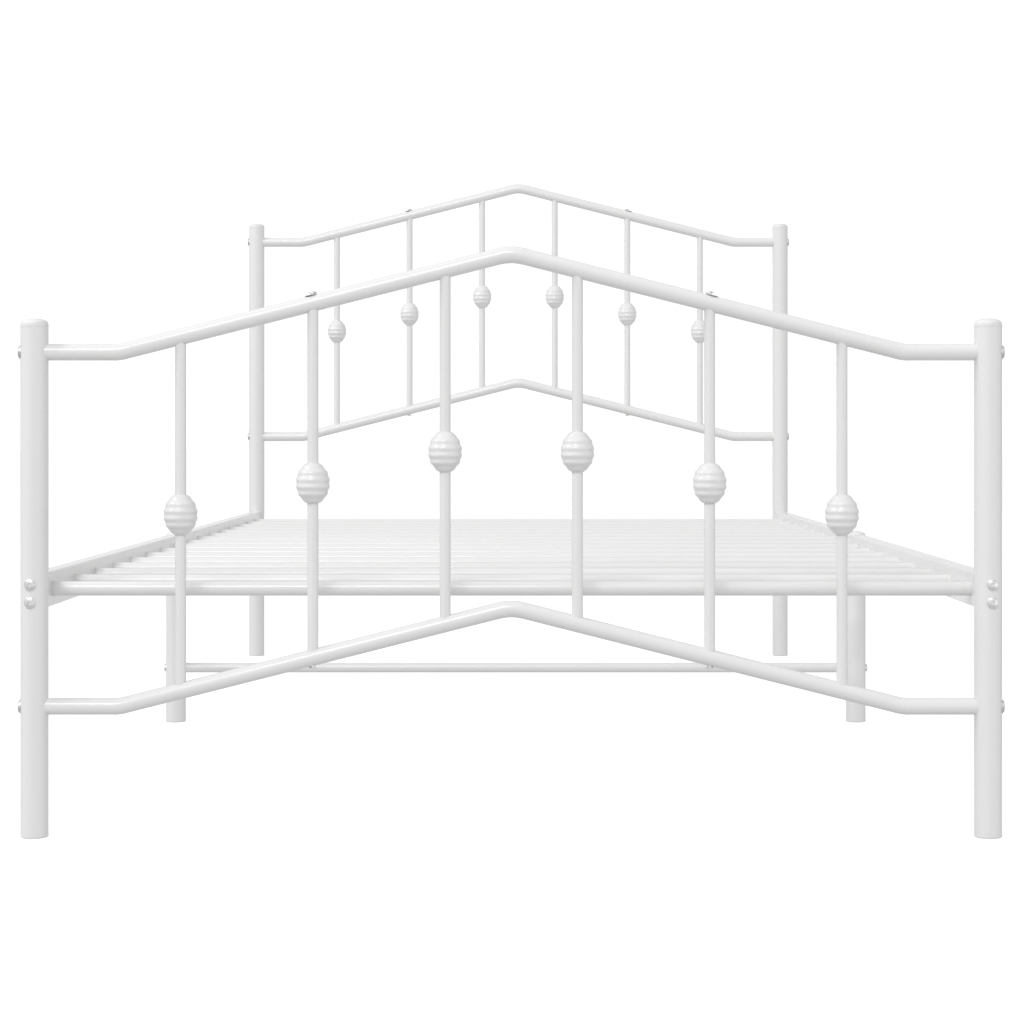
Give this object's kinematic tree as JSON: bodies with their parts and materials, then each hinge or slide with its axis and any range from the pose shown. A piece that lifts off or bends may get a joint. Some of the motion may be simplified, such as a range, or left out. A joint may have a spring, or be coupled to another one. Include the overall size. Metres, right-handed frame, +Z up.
{
  "type": "single bed frame",
  "caption": "White steel tube single bed frame with peaked head and foot panels, beaded spindles, a round-tube slat deck and a cross bar between middle legs.",
  "frame": {"origin": "on the floor, under the middle of the bed", "axes": "+Z up, +Y from the foot panel to the head panel, +X to the right for someone at the foot facing the head"},
  "size_m": [1.0658, 2.0764, 0.9278],
  "materials": {
    "white_coat": "satin white powder coat",
    "white_bead": "white, semi-gloss",
    "white_plastic": "white moulded plastic",
    "bright_plate": "bright zinc plate",
    "grey_plate": "dull grey zinc plate",
    "plain_steel": "machined plain steel"
  },
  "bodies": {
    "root": {"foot_post_left": "white_coat", "foot_post_right": "white_coat", "head_post_left": "white_coat", "head_post_right": "white_coat", "mid_leg_left": "white_coat", "mid_leg_right": "white_coat", "foot_top_rail": "white_coat", "foot_lower_rail": "white_coat", "head_top_rail": "white_coat", "head_lower_rail": "white_coat", "foot_spindle_1": "white_coat", "foot_spindle_2": "white_coat", "foot_spindle_3": "white_coat", "foot_spindle_4": "white_coat", "foot_spindle_5": "white_coat", "foot_spindle_6": "white_coat", "head_spindle_1": "white_coat", "head_spindle_2": "white_coat", "head_spindle_3": "white_coat", "head_spindle_4": "white_coat", "head_spindle_5": "white_coat", "head_spindle_6": "white_coat", "foot_beads": "white_bead", "head_beads": "white_bead", "side_rail_foot_left": "white_coat", "side_rail_foot_right": "white_coat", "side_rail_head_left": "white_coat", "side_rail_head_right": "white_coat", "slat_01": "white_coat", "slat_02": "white_coat", "slat_03": "white_coat", "slat_04": "white_coat", "slat_05": "white_coat", "slat_06": "white_coat", "slat_07": "white_coat", "slat_08": "white_coat", "slat_09": "white_coat", "slat_10": "white_coat", "slat_11": "white_coat", "slat_12": "white_coat", "slat_13": "white_coat", "slat_14": "white_coat", "slat_15": "white_coat", "slat_16": "white_coat", "cross_bar": "white_coat", "tube_caps": "white_plastic", "glides": "white_plastic", "panel_rail_plugs": "plain_steel", "side_rail_plugs": "plain_steel", "leg_tongues": "plain_steel", "cross_bar_plugs": "plain_steel", "spindle_inserts": "plain_steel", "panel_bolts": "grey_plate", "panel_bolt_washers": "grey_plate", "frame_bolts": "bright_plate", "frame_bolt_washers": "bright_plate", "tie_bolts": "bright_plate", "tie_bolt_washers": "bright_plate", "tongue_screws": "bright_plate"}
  },
  "joints": []
}
